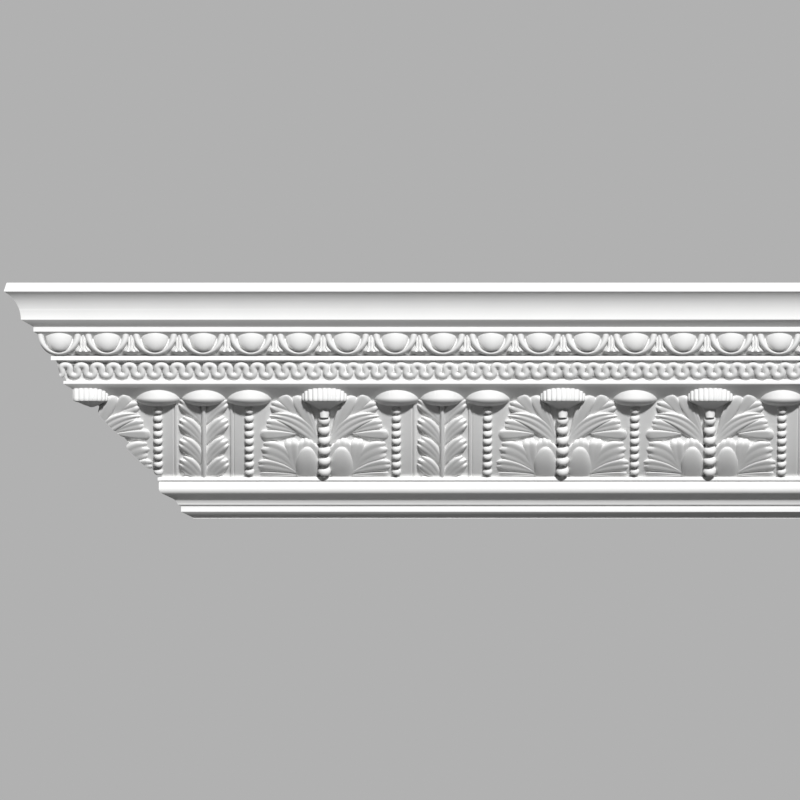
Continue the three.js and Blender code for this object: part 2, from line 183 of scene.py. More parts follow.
class CORNICE_PG_frieze(PropertyGroup):
    first_pilaster: length("First pilaster", 128.5, "Centre, from the left tip of the crown")
    palmette_bay: length("Palmette bay", 123.5, "Distance between pilasters beside a palmette")
    leaf_bay: length("Leaf bay", 76.5, "Distance between pilasters beside an acanthus leaf")
    pilaster_half_width: length("Pilaster half width", 15.9, "From a pilaster's middle to its edge")
    pilaster_relief: length("Pilaster relief", 1.8, "How far a pilaster stands out")
    border: length("Border", 1.7, "Width of the raised border of a pilaster")
    bead_radius: length("Bead radius", 4, "Half the width of a pilaster's bead")
    bead_rise: length("Bead rise", 6.4, "From one of a pilaster's beads to the next")
    stem_bead_radius: length("Stem bead radius", 5.5, "Half the width of a palmette's lowest bead")
    stem_bead_rise: length("Stem bead rise", 8.9, "From a palmette's lowest bead to the next")
    stem_relief: length("Stem relief", 5, "How far a palmette's stem stands out")
    cap_radius: length("Cap radius", 19.8, "Radius of the round caps")
    cap_drop: length("Cap drop", 11.8, "From the soffit's outer edge to where a cap turns under")
    cap_depth: length("Cap depth", 7, "Depth of the bowl below that")
    cap_axis: length("Cap axis", 80.2, "Projection of the caps' upright axis")
    drum_radius: length("Drum radius", 20.4, "Half the width of a palmette's ribbed cap")
    drum_reach: length("Drum reach", 23, "How far a ribbed cap stands out from its axis")
    drum_ribs: IntProperty(name="Drum ribs", description="Ribs round the whole of a ribbed cap",
                           default=34, min=1)
    drum_depth: length("Drum depth", 14.7, "Depth of a ribbed cap")
    palmette_shift: length("Palmette shift", 1.2, "A palmette's stem from the middle of its bay")
    palmette_half_width: length("Palmette half width", 57, "Half the width of a palmette")
    leaf_half_width: length("Leaf half width", 20.8, "Half the width of an acanthus leaf")
    relief: length("Relief", 6.4, "How far the leaves stand out")


class CORNICE_PG_finish(PropertyGroup):
    white: colour("White", (0.86, 0.86, 0.855), "Colour of the primed moulding")
    roughness: ratio("Roughness", 0.62, "Roughness of the primer")
    grain: length("Grain", 0.9, "Size of the primer's grain")


class CORNICE_PG_studio(PropertyGroup):
    floor: colour("Floor", (0.4, 0.4, 0.4), "Colour of the floor")
    drop: length("Floor drop", 2200, "How far the floor is below the moulding")
    backdrop: ratio("Backdrop", 0.44, "Brightness behind the moulding")
    room: ratio("Room", 0.03, "Brightness in front of the moulding")
    key: ratio("Key", 4.0, "Strength of the key light")
    key_height: degrees("Key height", 27, "Angle of the key light over the level")
    key_side: degrees("Key side", 9, "Angle of the key light to the right")


class CORNICE_PG_sizes(PropertyGroup):
    section: group(CORNICE_PG_section, "Section", "The moulded section")
    eggs: group(CORNICE_PG_eggs, "Eggs", "Egg and dart")
    ribbon: group(CORNICE_PG_ribbon, "Ribbon", "Looped ribbon")
    frieze: group(CORNICE_PG_frieze, "Frieze", "Carved frieze")
    finish: group(CORNICE_PG_finish, "Finish", "Primed white finish")
    studio: group(CORNICE_PG_studio, "Studio", "Floor, light and camera")


# Closed surfaces: each is a pair of arrays, its points and its triangles

def outward(points, triangles):
    """Turns every triangle round if the volume that they enclose comes out negative."""
    a, b, c = (points[triangles[:, i]] for i in range(3))
    volume = np.einsum("ij,ij->", a, np.cross(b, c))
    return points, triangles if volume > 0 else triangles[:, ::-1]


def grid_triangles(rows, columns, around=False):
    """Two triangles for each cell of a grid whose points are numbered row by row. With around, the
    last column meets the first."""
    index = np.arange(rows * columns).reshape(rows, columns)
    if around:
        index = np.column_stack([index, index[:, 0]])
    a, b, c, d = index[:-1, :-1], index[1:, :-1], index[1:, 1:], index[:-1, 1:]
    return np.concatenate([np.stack(half, -1).reshape(-1, 3) for half in ([a, b, c], [a, c, d])])


def slab(front, back):
    """A front grid and a back grid of the same layout, with a wall that joins their edges."""
    rows, columns = front.shape[:2]
    index = np.arange(rows * columns).reshape(rows, columns)
    rim = np.concatenate([index[0, :-1], index[:-1, -1], index[-1, :0:-1], index[:0:-1, 0]])
    onward = np.roll(rim, -1)
    behind = rows * columns
    face = grid_triangles(rows, columns)
    wall = np.concatenate([np.stack([rim, onward, onward + behind], -1),
                           np.stack([rim, onward + behind, rim + behind], -1)])
    points = np.concatenate([front.reshape(-1, 3), back.reshape(-1, 3)])
    return outward(points, np.concatenate([face, face[:, ::-1] + behind, wall]))


def lathe(radius, height, turns, wave=0.0):
    """A surface of revolution about an upright line. The profile's first and last points are its
    poles. Wave multiplies the radius: it is an array over the profile's rings and the turns."""
    turn = np.linspace(0, 2 * np.pi, turns, endpoint=False)
    rings = radius[1:-1, None] * (1 + wave) * np.ones(turns)
    level = np.broadcast_to(height[1:-1, None], rings.shape)
    body = np.stack([rings * np.sin(turn), -rings * np.cos(turn), level], -1).reshape(-1, 3)
    points = np.concatenate([[[0, 0, height[0]]], body, [[0, 0, height[-1]]]])
    first = 1 + np.arange(turns)
    last = first + len(body) - turns
    top = np.full(turns, len(points) - 1)
    fans = np.concatenate([np.stack([0 * first, first, np.roll(first, -1)], -1),
                           np.stack([top, np.roll(last, -1), last], -1)])
    return outward(points, np.concatenate([grid_triangles(len(rings), turns, True) + 1, fans]))


def ellipsoid(centre, radii, turns, rings):
    latitude = np.linspace(-np.pi / 2, np.pi / 2, rings + 1)
    points, triangles = lathe(np.cos(latitude), np.sin(latitude), turns)
    return points * np.array(radii) + np.array(centre), triangles


def moved(shape, x):
    points, triangles = shape
    return points + np.array([x, 0, 0]), triangles


def mirrored(shape):
    points, triangles = shape
    return points * np.array([-1, 1, 1]), triangles[:, ::-1]


def both_sides(shape):
    return [shape, mirrored(shape)]


def together(shapes):
    """Several surfaces as one pair of arrays."""
    starts = np.cumsum([0] + [len(points) for points, _ in shapes[:-1]])
    return (np.concatenate([points for points, _ in shapes]),
            np.concatenate([triangles + start for (_, triangles), start in zip(shapes, starts)]))


def smooth(value):
    """Rises from 0 to 1 as value does, level at both ends."""
    value = np.clip(value, 0, 1)
    return value * value * (3 - 2 * value)


# Section

class Pen:
    """Draws the section's outline as points of projection and height. Each method goes on from
    where the pen is, and the straight ones return where it gets to."""

    def __init__(self, projection, height):
        self.points = [(projection, height)]

    def to(self, projection, height):
        self.points.append((projection, height))
        return self.points[-1]

    def by(self, run, height):
        projection, level = self.points[-1]
        return self.to(projection + run, level + height)

    def rise(self, height):
        return self.by(0, height)

    def shift(self, run):
        return self.by(run, 0)

    def slope(self, run, rise_per_run):
        return self.by(run, run * rise_per_run)

    def curve(self, projection, height):
        """Points of a curve, given as arrays, the first of which is where the pen is."""
        self.points.extend(zip(projection[1:], height[1:]))
        return np.array(projection), np.array(height)

    def ellipse(self, centre, radii, start, end, steps):
        """Part of an ellipse between two angles in degrees: 0 is towards the room, and 90 is up."""
        turn = np.radians(np.linspace(start, end, steps + 1))
        return self.curve(centre[0] + radii[0] * np.cos(turn), centre[1] + radii[1] * np.sin(turn))

    def circle(self, radius, start, end, steps):
        """Part of a circle between two such angles, with its centre where it has to be."""
        projection, level = self.points[-1]
        turn = math.radians(start)
        centre = (projection - radius * math.cos(turn), level - radius * math.sin(turn))
        return self.ellipse(centre, (radius, radius), start, end, steps)


def ground_of(projection, height):
    """Projection of a curved ground as a function of height, running straight on past its ends."""
    beyond = 20 * MM
    low = projection[0] - beyond * (projection[1] - projection[0]) / (height[1] - height[0])
    top = projection[-1] + beyond * (projection[-1] - projection[-2]) / (height[-1] - height[-2])
    heights = np.concatenate([[height[0] - beyond], height, [height[-1] + beyond]])
    projections = np.concatenate([[low], projection, [top]])
    return lambda level: np.interp(level, heights, projections)


class Section:
    """The moulded section, with the places and the grounds that the enrichments stand on."""

    def __init__(self, s):
        self.base = -s.wall_seat / 2
        pen = Pen(s.lip, 0.0)
        pen.rise(s.lip_height)
        pen.slope(s.foot_soffit, s.foot_slope)
        pen.rise(s.foot_fillet)
        pen.by(s.foot_step, s.foot_step_rise)
        pen.circle(s.cove_radius, 155, 132, 8)
        pen.slope(s.torus_soffit, s.foot_slope)
        pen.circle(s.torus_radius, -60, 0, 10)
        pen.rise(s.torus_face)
        pen.circle(s.torus_shoulder, 0, 90, 6)
        pen.rise(s.torus_quirk)
        pen.shift(s.torus_shoulder + s.neck_projection)
        pen.rise(s.neck_fillet)
        self.frieze_foot = pen.shift(-s.neck_ledge)
        self.frieze_ground = ground_of(*pen.curve(*self.bell(s)))
        self.frieze_head = pen.points[-1]
        self.cap_edge = pen.slope(s.cap_soffit, s.soffit_slope)
        pen.rise(s.ribbon_fillet)
        self.ribbon_foot = pen.shift(-s.ribbon_setback)
        self.ribbon_head = pen.by(s.ribbon_run, s.ribbon_height)
        band = np.array([self.ribbon_foot, self.ribbon_head])
        self.ribbon_ground = ground_of(band[:, 0], band[:, 1])
        pen.shift(s.egg_fillet_projection)
        pen.rise(s.egg_fillet)
        self.ovolo_foot = pen.shift(-s.egg_ledge)
        self.ovolo_ground = ground_of(*pen.ellipse(
            (self.ovolo_foot[0], self.ovolo_foot[1] + s.ovolo_height),
            (s.ovolo_run, s.ovolo_height), -88, 0, 12))
        self.ovolo_head = pen.points[-1]
        self.crown_edge = pen.slope(s.egg_soffit, s.soffit_slope)
        pen.rise(s.crown_fillet)
        pen.slope(s.crown_soffit, s.soffit_slope)
        pen.circle(s.cavetto_radius, 180, 180 - math.degrees(s.cavetto_turn), 20)
        pen.slope(s.brow_step, s.soffit_slope)
        pen.by(-s.brow_lean, s.brow_fillet)
        pen.shift(-s.ceiling_seat)
        pen.to(0.0, s.wall_seat)
        pen.to(0.0, 0.0)
        self.outline = self.eased(np.array(pen.points), s.ease)

    def bell(self, s):
        """The frieze's curve: a cubic from the frieze's foot to its head, which leans out most at
        the foot and is more upright above."""
        foot = np.array(self.frieze_foot)
        run = np.array([s.frieze_run, s.frieze_height])
        poles = [foot, foot + run * (0.35, 0.24), foot + run * (0.74, 0.70), foot + run]
        t = np.linspace(0, 1, 29)[:, None]
        points = ((1 - t) ** 3 * poles[0] + 3 * t * (1 - t) ** 2 * poles[1]
                  + 3 * t * t * (1 - t) * poles[2] + t ** 3 * poles[3])
        return points[:, 0], points[:, 1]

    @staticmethod
    def eased(points, ease):
        """Each corner that turns by more than the sharpest angle within a curve is cut back by ease
        along both its edges, or by less where an edge is short, and rounded by three points of a
        parabola. Points that come out on top of each other are left out."""
        sharpest, longest_cut, apart = math.radians(18), 0.4, 0.01 * MM
        before, after = np.roll(points, 1, 0) - points, np.roll(points, -1, 0) - points
        reach_before = np.linalg.norm(before, axis=1, keepdims=True)
        reach_after = np.linalg.norm(after, axis=1, keepdims=True)
        turn = np.sum(before * after, 1, keepdims=True) / (reach_before * reach_after)
        cut = np.where(turn > -math.cos(sharpest), ease, 0)
        start = points + before / reach_before * np.minimum(cut, longest_cut * reach_before)
        end = points + after / reach_after * np.minimum(cut, longest_cut * reach_after)
        rounded = np.stack([start, start / 4 + points / 2 + end / 4, end], 1).reshape(-1, 2)
        kept = np.linalg.norm(rounded - np.roll(rounded, 1, 0), axis=1) > apart
        return rounded[kept]

    def at(self, x, projection, height):
        """Points in the frame, from places along the wall, projections and heights."""
        return np.stack(np.broadcast_arrays(x, -projection, height + self.base), -1)

    def solid(self, left, right):
        """The outline carried from left to right: points, sides and how many points an end has."""
        ends = np.array([[left], [right]])
        rings = self.at(ends, self.outline[:, 0], self.outline[:, 1])
        return rings.reshape(-1, 3), grid_triangles(2, len(self.outline), True), len(self.outline)

    def relief(self, ground, x, height, relief):
        """A slab whose front stands out from its ground by relief at every point of the grid."""
        level = ground(height)
        return slab(self.at(x, level + relief, height), self.at(x, level - SINK, height))


# Egg and dart

def egg(section, e):
    """The lower half of an ellipsoid, under the soffit of the crown, that stands on the ovolo."""
    level = section.base + section.crown_edge[1] - EGG_DROP
    return ellipsoid((0, -section.ovolo_head[0], level), (e.half_width, e.bulge, e.height), 32, 18)


def shell(section, e):
    """A half ellipse round the egg's sides and foot, carried with a rounded section across. The
    relief falls by a quarter towards the foot, where the band is thinner."""
    top = section.crown_edge[1] - EGG_DROP
    turn = np.linspace(-0.12, np.pi + 0.12, 33)[:, None]
    b = np.linspace(-1, 1, 9)
    below = np.clip(np.sin(turn), 0, 1)
    half = (e.band + (e.band_below - e.band) * below) / 2
    x = (e.half_width + e.gap + e.band / 2 + half * b) * np.cos(turn)
    height = top - (e.height + e.gap + e.band_below / 2 + half * b) * np.sin(turn)
    relief = e.shell_relief * (1 - 0.25 * below) * (0.5 + 0.5 * np.sqrt(1 - b * b))
    return section.relief(section.ovolo_ground, x, height, relief)


def dart(section, e):
    """A head that narrows to a waist and widens to two barbs over a point, with two grooves down
    it. Its half width and relief follow straight lines between those places."""
    place = [0, 0.30, 0.56, 0.76, 0.81, 1]
    point = 0.3 * MM
    a = np.linspace(0, 1, 21)[:, None]
    b = np.linspace(-1, 1, 15)
    half = np.interp(a, place, [e.dart_top, e.dart_waist, 1.15 * e.dart_waist, e.dart_barb,
                                e.dart_barb, point])
    rise = np.interp(a, place, [1, 0.85, 0.85, 1.1, 1.05, 0.2])
    head, foot = section.crown_edge[1] - 1.6 * MM, section.ovolo_foot[1] - 0.4 * MM
    grooves = np.exp(-((np.abs(b) - 0.36) / 0.13) ** 2) * (1 - smooth((a - 0.7) / 0.1))
    relief = e.dart_relief * rise * (0.55 + 0.45 * np.sqrt(1 - b ** 4)) - e.dart_groove * grooves
    return section.relief(section.ovolo_ground, half * b, head + (foot - head) * a, relief)


# Looped ribbon

def ribbon(section, r, left, right):
    """A half round cord along a wave. For t in pitches from the first arch, its centre line is at
    x = pitch t - lean cos(2 pi t) + tuck sin(4 pi t), and reach cos(2 pi t) over the middle of its
    band. The tuck straightens the strands of each loop."""
    first = math.floor((left - r.start) / r.pitch)
    last = math.ceil((right - r.start) / r.pitch)
    steps = 22
    t = np.linspace(first, last, steps * (last - first) + 1)[:, None]
    b = np.linspace(-1, 1, 9)
    middle = (section.ribbon_foot[1] + section.ribbon_head[1]) / 2
    phase = 2 * np.pi * t
    x = LOW.x + r.start + r.pitch * t - r.lean * np.cos(phase) + r.tuck * np.sin(2 * phase)
    height = middle + r.reach * np.cos(phase)
    along = r.pitch + 2 * np.pi * (r.lean * np.sin(phase) + 2 * r.tuck * np.cos(2 * phase))
    up = -2 * np.pi * r.reach * np.sin(phase)
    speed = np.hypot(along, up)
    offset = b * r.width / 2
    relief = r.relief * np.sqrt(1 - b * b) - 0.05 * r.relief
    return section.relief(section.ribbon_ground, x - offset * up / speed,
                          height + offset * along / speed, relief * np.ones_like(t))


# Frieze

def pilaster_half(section, f, bordered):
    """The right half of a pilaster's face, from a little past its middle, so that two halves
    overlap. A bordered one ends in a groove and a raised edge, and the other runs on and fades
    into the ground behind a palmette."""
    level = np.linspace(section.frieze_foot[1] - MM, section.frieze_head[1] + 6 * MM, 33)[:, None]
    edge = f.pilaster_half_width
    if bordered:
        x = edge - f.border * np.array([2.2, 1.8, 1.4, 1, 0.5, 0])
        share = np.array([1, 1, 0.55, 0.55, 1.2, 1.25, 1.0])
    else:
        x = edge * np.linspace(0.8, 1.45, 9)
        share = 1 - 1.1 * smooth((np.append(-MM, x) / edge - 0.85) / 0.6)
    return section.relief(section.frieze_ground, np.append(-MM, x) * np.ones_like(level), level,
                          f.pilaster_relief * share * np.ones_like(level))


def bead(section, height, relief, radii, turns, rings):
    projection = section.frieze_ground(height) + relief
    return ellipsoid((0, -projection, section.base + height), radii, turns, rings)


def pilaster_beads(section, f):
    """Touching beads up a pilaster, the last one smaller, in two lots so that no two of a lot
    touch."""
    foot, head = section.frieze_foot[1], section.frieze_head[1]
    count = int((head - foot) / f.bead_rise)
    r = f.bead_radius
    beads = [bead(section, foot + (0.75 + i) * f.bead_rise, f.pilaster_relief + 0.1 * r,
                  (r, 0.95 * r, 0.53 * f.bead_rise), 20, 12) for i in range(count)]
    beads.append(bead(section, foot + (0.65 + count) * f.bead_rise, f.pilaster_relief,
                      (0.7 * r, 0.8 * r, 0.45 * f.bead_rise), 16, 8))
    return beads[::2], beads[1::2]


def stem_beads(section, f):
    """Beads up a palmette's stem, each a little smaller than the one below and as much closer, in
    two lots so that no two of a lot touch."""
    count, lessening = 6, 0.985
    shrink = lessening ** np.arange(count)
    heights = section.frieze_foot[1] + f.stem_bead_rise * (np.cumsum(shrink) - 0.41)
    r, half_height = f.stem_bead_radius, 0.53 * f.stem_bead_rise
    beads = [bead(section, height, f.stem_relief, (r * size, 0.95 * r * size, half_height * size),
                  24, 14) for height, size in zip(heights, shrink)]
    return beads[::2], beads[1::2]


def cap(section, f):
    """A round cap: upright down to its widest level, and a quarter ellipse below, turned about an
    upright axis."""
    widest = section.base + section.cap_edge[1] - f.cap_drop
    latitude = np.linspace(-np.pi / 2, 0, 15)
    radius = np.concatenate([f.cap_radius * np.cos(latitude), [f.cap_radius, 0]])
    height = np.concatenate([widest + f.cap_depth * np.sin(latitude), [widest + f.cap_drop] * 2])
    points, triangles = lathe(radius, height, 72)
    return points - np.array([0, f.cap_axis, 0]), triangles


# A ribbed drum's profile: shares of its radius, and millimetres over its lower edge
DRUM_PROFILE = ((0, -14), (0.18, -13.5), (0.22, -9), (0.27, -6), (0.42, -4), (0.80, -0.9),
                (0.90, 0), (0.96, 0.5), (0.99, 1.4), (1, 2.8), (1, 8))


def drum(section, f):
    """A ribbed drum with a rounded lower edge, over a flat cone that narrows to the stem. Its plan
    is the curve |x / radius| cubed + |y / reach| cubed = 1, and the cone's is round."""
    bottom = section.base + section.cap_edge[1] - f.drum_depth
    r, top = f.drum_radius, f.drum_depth + MM
    profile = np.array([[share * r, level * MM] for share, level in DRUM_PROFILE]
                       + [[r, top], [0, top]])
    turns = 6 * f.drum_ribs
    turn = np.linspace(0, 2 * np.pi, turns, endpoint=False)
    groove = 1 - np.abs(np.cos(f.drum_ribs * turn / 2)) ** 0.8
    ribbed = smooth((profile[1:-1, :1] / r - 0.7) / 0.25)
    across, out = np.abs(np.sin(turn)), np.abs(np.cos(turn) * r / f.drum_reach)
    plan = (across ** 3 + out ** 3) ** (-1 / 3) - 1
    points, triangles = lathe(profile[:, 0], bottom + profile[:, 1], turns,
                              (plan - 0.055 * groove) * ribbed)
    return points - np.array([0, f.cap_axis, 0]), triangles


def leaflet(section, half_width, relief, root, tip, width, bow=0.0, lift=1.0, teeth=1,
            notch=0.04, groove=0.14, blunt=0.9, heel=0.15, peak=0.9, flat=6, tilt=0.22, fall=0.10,
            dome=0.0):
    """A leaflet on the frieze. Root and tip are shares of the leaf's half width and of the reach
    from the frieze's foot to its soffit. For a from 0 to 1 along it, in steps that shorten towards
    the tip, and b from -1 to 1 across it:
    the centre line is a parabola from root to tip, bowed up by a share of its length;
    the half width grows from its heel share to its whole at the peak as a quarter sine does, and
    falls to the blunt share at the tip;
    a tooth is the size of sin(pi teeth (b + 1) / 2), and the tip is notched where that is small;
    the relief rises from the root and rolls over at the tip, or rises to the middle of a domed
    leaflet, and falls to its edges as the square root of 1 - b to the power flat. It is tilted so
    that its upper edge stands forward, and grooved between its teeth."""
    reach = section.frieze_head[1] + 5 * MM - section.frieze_foot[1]
    scale = np.array([half_width, reach])
    root, tip = np.array(root) * scale, np.array(tip) * scale
    a = 1 - (1 - np.linspace(0, 1, 19)[:, None]) ** 1.6
    b = np.linspace(-1, 1, max(8 * teeth, 14) + 1)
    b = np.sin(np.pi * b / 2) * 0.35 + b * 0.65
    tooth = np.abs(np.sin(np.pi * teeth * (b + 1) / 2)) if teeth > 1 else np.ones_like(b)
    line = tip - root
    bend = (root + tip) / 2 + 2 * bow * np.array([-line[1], line[0]])
    s = a * (1 - fall * b * b - notch * (1 - tooth) * smooth(a))
    centre = [(1 - s) ** 2 * root[i] + 2 * s * (1 - s) * bend[i] + s * s * tip[i] for i in range(2)]
    course = [2 * (1 - s) * (bend[i] - root[i]) + 2 * s * (tip[i] - bend[i]) for i in range(2)]
    speed = np.hypot(*course)
    swell = np.where(a < peak, heel + (1 - heel) * np.sin(np.pi * a / (2 * peak)),
                     blunt + (1 - blunt) * np.cos(np.pi * (a - peak) / (2 * (1 - peak))))
    offset = 0.5 * width * half_width * swell * b
    x = centre[0] - offset * course[1] / speed
    height = section.frieze_foot[1] + np.maximum(centre[1] + offset * course[0] / speed, -0.9 * MM)
    crown = 0.04 + 0.96 * np.sqrt(1 - np.abs(b) ** flat)
    bulge = np.sqrt(np.clip(1 - (2 * a - 1) ** 2, 0, 1))
    climb = (1 - dome) * (0.45 + 0.55 * smooth(a / 0.8)) + dome * bulge
    rounded = 1 - 0.85 * np.clip((a - 0.82) / 0.18, 0, 1) ** 2
    depth = climb * rounded * crown * (1 - tilt * (1 - b) / 2)
    depth = depth - groove * (1 - tooth) * smooth(a / 0.6) * (teeth > 1)
    return section.relief(section.frieze_ground, x, height, relief * lift * depth)


# Three at the top, four down the side, three upright ones at the foot and three beside those
PALMETTE_LEAFLETS = [
    dict(root=(0.10, 0.47), tip=(0.30, 0.92), width=0.15, lift=1.0),
    dict(root=(0.12, 0.49), tip=(0.47, 1.04), width=0.20, heel=0.3, lift=1.25, bow=0.02),
    dict(root=(0.30, 0.70), tip=(0.665, 1.03), width=0.205, heel=0.1, lift=1.1),
    dict(root=(0.37, 0.765), tip=(0.80, 0.895), width=0.19, heel=0.1, teeth=2, notch=0.05),
    dict(root=(0.08, 0.41), tip=(0.82, 0.755), width=0.25, heel=0.35, peak=0.45, blunt=0.5,
         bow=0.125, lift=1.12, teeth=3, notch=0.03, groove=0.12),
    dict(root=(0.40, 0.545), tip=(0.875, 0.66), width=0.18, heel=0.1, bow=0.04, teeth=2,
         notch=0.05, groove=0.07),
    dict(root=(0.42, 0.53), tip=(0.96, 0.52), width=0.155, heel=0.12, fall=0.06),
    dict(root=(0.25, 0.02), tip=(0.27, 0.50), width=0.56, heel=0.6, peak=0.7, blunt=0.6,
         lift=0.95, fall=0.3, teeth=5, notch=0.04, groove=0.05),
    dict(root=(0.25, -0.05), tip=(0.255, 0.42), width=0.37, heel=0.7, peak=0.5, blunt=0.62,
         lift=1.4, flat=2.6, tilt=0.05, fall=0.2, dome=0.6),
    dict(root=(0.42, 0.04), tip=(0.50, 0.485), width=0.25, heel=0.1, bow=-0.02, teeth=2,
         notch=0.05, groove=0.07),
    dict(root=(0.41, 0.06), tip=(0.95, 0.34), width=0.34, heel=0.12, peak=0.75, blunt=0.85,
         bow=0.14, lift=1.08, teeth=3, notch=0.06, groove=0.08),
    dict(root=(0.41, 0.05), tip=(1.0, 0.155), width=0.19, heel=0.1, bow=0.05, teeth=2,
         notch=0.05, groove=0.08),
    dict(root=(0.42, 0.025), tip=(0.97, 0.03), width=0.085, heel=0.3, lift=0.75, fall=0.03),
]

ACANTHUS_LEAFLETS = [
    dict(root=(0.04, up), tip=(0.98, up + 0.29), width=0.68, heel=0.3, peak=0.8, bow=0.08,
         teeth=3, notch=0.07, groove=0.09, fall=0.12, flat=4)
    for up in (-0.32, -0.075, 0.165, 0.415, 0.665, 0.915)
]


def stem(section, half_width, relief):
    """An upright ridge with a half round section."""
    level = np.linspace(section.frieze_foot[1] - MM, section.frieze_head[1] + 2 * MM, 21)[:, None]
    b = np.linspace(-1, 1, 9)
    depth = relief * np.sqrt(1 - b * b) - 0.02 * relief
    return section.relief(section.frieze_ground, half_width * b * np.ones_like(level), level,
                          depth * np.ones_like(level))


def frieze_places(f):
    """Centres of the pilasters, centres of the palmettes and leaves by kind of bay, and for each
    kind the half pilasters at its bays' ends: their centres, and 1 for a right half or -1 for a
    left one."""
    bays = ("palmette", "leaf", "palmette", "leaf", "palmette", "palmette", "leaf")
    width = {"palmette": f.palmette_bay, "leaf": f.leaf_bay}
    centres = {"palmette": [], "leaf": []}
    pilasters, sides = [], {"palmette": [], "leaf": []}
    x = LOW.x + f.first_pilaster - f.palmette_bay
    for bay in bays:
        centres[bay].append(x + width[bay] / 2 + (f.palmette_shift if bay == "palmette" else 0))
        sides[bay] += [(x, 1), (x + width[bay], -1)]
        x += width[bay]
        pilasters.append(x)
    return pilasters, centres, sides


def frieze_solids(section, f):
    """Lots of closed surfaces. No two surfaces of a lot touch, so each lot is a sound operand."""
    pilasters, centres, sides = frieze_places(f)

    def along(shapes, places):
        return [moved(shape, x) for x in places for shape in shapes]

    lots = []
    for bay, bordered in (("leaf", True), ("palmette", False)):
        for side, face in zip((1, -1), both_sides(pilaster_half(section, f, bordered))):
            lots.append([moved(face, x) for x, half in sides[bay] if half == side])
    lots += [along(lot, pilasters) for lot in pilaster_beads(section, f)]
    lots += [along([cap(section, f)], places) for places in (pilasters, centres["leaf"])]
    lots.append(along([drum(section, f)], centres["palmette"]))
    lots.append(along([stem(section, STEM_HALF_WIDTH, f.stem_relief)], centres["palmette"]))
    lots.append(along([stem(section, VEIN_HALF_WIDTH, f.relief)], centres["leaf"]))
    lots += [along(lot, centres["palmette"]) for lot in stem_beads(section, f)]
    for bay, leaflets, half_width in (("palmette", PALMETTE_LEAFLETS, f.palmette_half_width),
                                      ("leaf", ACANTHUS_LEAFLETS, f.leaf_half_width)):
        for shape in leaflets:
            leaf = leaflet(section, half_width, f.relief, **shape)
            lots.append(along(both_sides(leaf), centres[bay]))
    return lots


# Joining

def add_mesh(name, points, triangles, collection=None, ends=()):
    mesh = bpy.data.meshes.new(name)
    mesh.from_pydata(points.tolist(), [], triangles.tolist() + [list(end) for end in ends])
    piece = bpy.data.objects.new(name, mesh)
    (collection or bpy.context.scene.collection).objects.link(piece)
    return piece


def within_length():
    """A prism whose left face is the mitre, which runs in from the left tip of the crown at 45
    degrees, and whose right face is square."""
    projection = -LOW.y
    low, high = LOW.z - OVERRUN, HIGH.z + OVERRUN
    front, back = -projection - OVERRUN, OVERRUN
    plan = np.array([[LOW.x + projection + back, back], [HIGH.x, back], [HIGH.x, front],
                     [LOW.x + projection + front, front]])
    corners = np.concatenate([np.column_stack([plan, np.full(4, level)]) for level in (low, high)])
    sides = np.array([[0, 1, 5], [0, 5, 4], [1, 2, 6], [1, 6, 5], [2, 3, 7], [2, 7, 6],
                      [3, 0, 4], [3, 4, 7], [0, 2, 1], [0, 3, 2], [4, 5, 6], [4, 6, 7]])
    return outward(corners, sides)


def evaluated_arrays(piece):
    """The points and triangles of a piece with its modifiers."""
    depsgraph = bpy.context.evaluated_depsgraph_get()
    mesh = piece.evaluated_get(depsgraph).to_mesh()
    mesh.calc_loop_triangles()
    points = np.empty(len(mesh.vertices) * 3)
    triangles = np.empty(len(mesh.loop_triangles) * 3, dtype=np.int32)
    mesh.vertices.foreach_get("co", points)
    mesh.loop_triangles.foreach_get("vertices", triangles)
    return points.reshape(-1, 3), triangles.reshape(-1, 3)


def without_flaps(triangles):
    """Leaves out both triangles of each pair that has the same three corners, back to back."""
    corners = np.sort(triangles, axis=1)
    _, index, count = np.unique(corners, axis=0, return_inverse=True, return_counts=True)
    return triangles[count[index.ravel()] == 1]


def largest_part(points, triangles):
    """Only the triangles of the part with the most of them. Each point takes the lowest label among
    its triangles' points until no label changes."""
    label = np.arange(len(points))
    while True:
        lowest = label.copy()
        np.minimum.at(lowest, triangles.ravel(), np.repeat(label[triangles].min(1), 3))
        lowest = lowest[lowest]
        if np.array_equal(lowest, label):
            break
        label = lowest
    part = label[triangles[:, 0]]
    kept = triangles[part == np.bincount(part).argmax()]
    used, index = np.unique(kept, return_inverse=True)
    return points[used], index.reshape(-1, 3)


def join(lots, section):
    """The section with every lot joined to it, cut to the length."""
    carving = bpy.data.collections.new("carving")
    bpy.context.scene.collection.children.link(carving)
    for i, lot in enumerate(lots):
        add_mesh(f"lot_{i}", *together(lot), carving)
    points, sides, count = section.solid(LOW.x - OVERRUN, HIGH.x + OVERRUN)
    ends = [range(count), range(2 * count - 1, count - 1, -1)]
    body = add_mesh("body", points, sides, ends=ends)
    prism = add_mesh("prism", *within_length())
    for operation, operand in (("UNION", carving), ("INTERSECT", prism)):
        modifier = body.modifiers.new(operation.lower(), "BOOLEAN")
        modifier.operation = operation
        modifier.solver = "MANIFOLD"
        if operand is carving:
            modifier.operand_type = "COLLECTION"
            modifier.collection = carving
        else:
            modifier.object = prism
    points, triangles = evaluated_arrays(body)
    for piece in [*carving.objects, body, prism]:
        bpy.data.meshes.remove(piece.data)
    bpy.data.collections.remove(carving)
    return largest_part(points, without_flaps(triangles))


# Finish

def new_material(name):
    """A material, its nodes, its links and its shader."""
    material = bpy.data.materials.new(name)
    material.use_nodes = True
    nodes = material.node_tree.nodes
    return material, nodes, material.node_tree.links, nodes["Principled BSDF"]


def noise(nodes, scale, detail):
    texture = nodes.new("ShaderNodeTexNoise")
    texture.inputs["Scale"].default_value = scale
    texture.inputs["Detail"].default_value = detail
    return texture


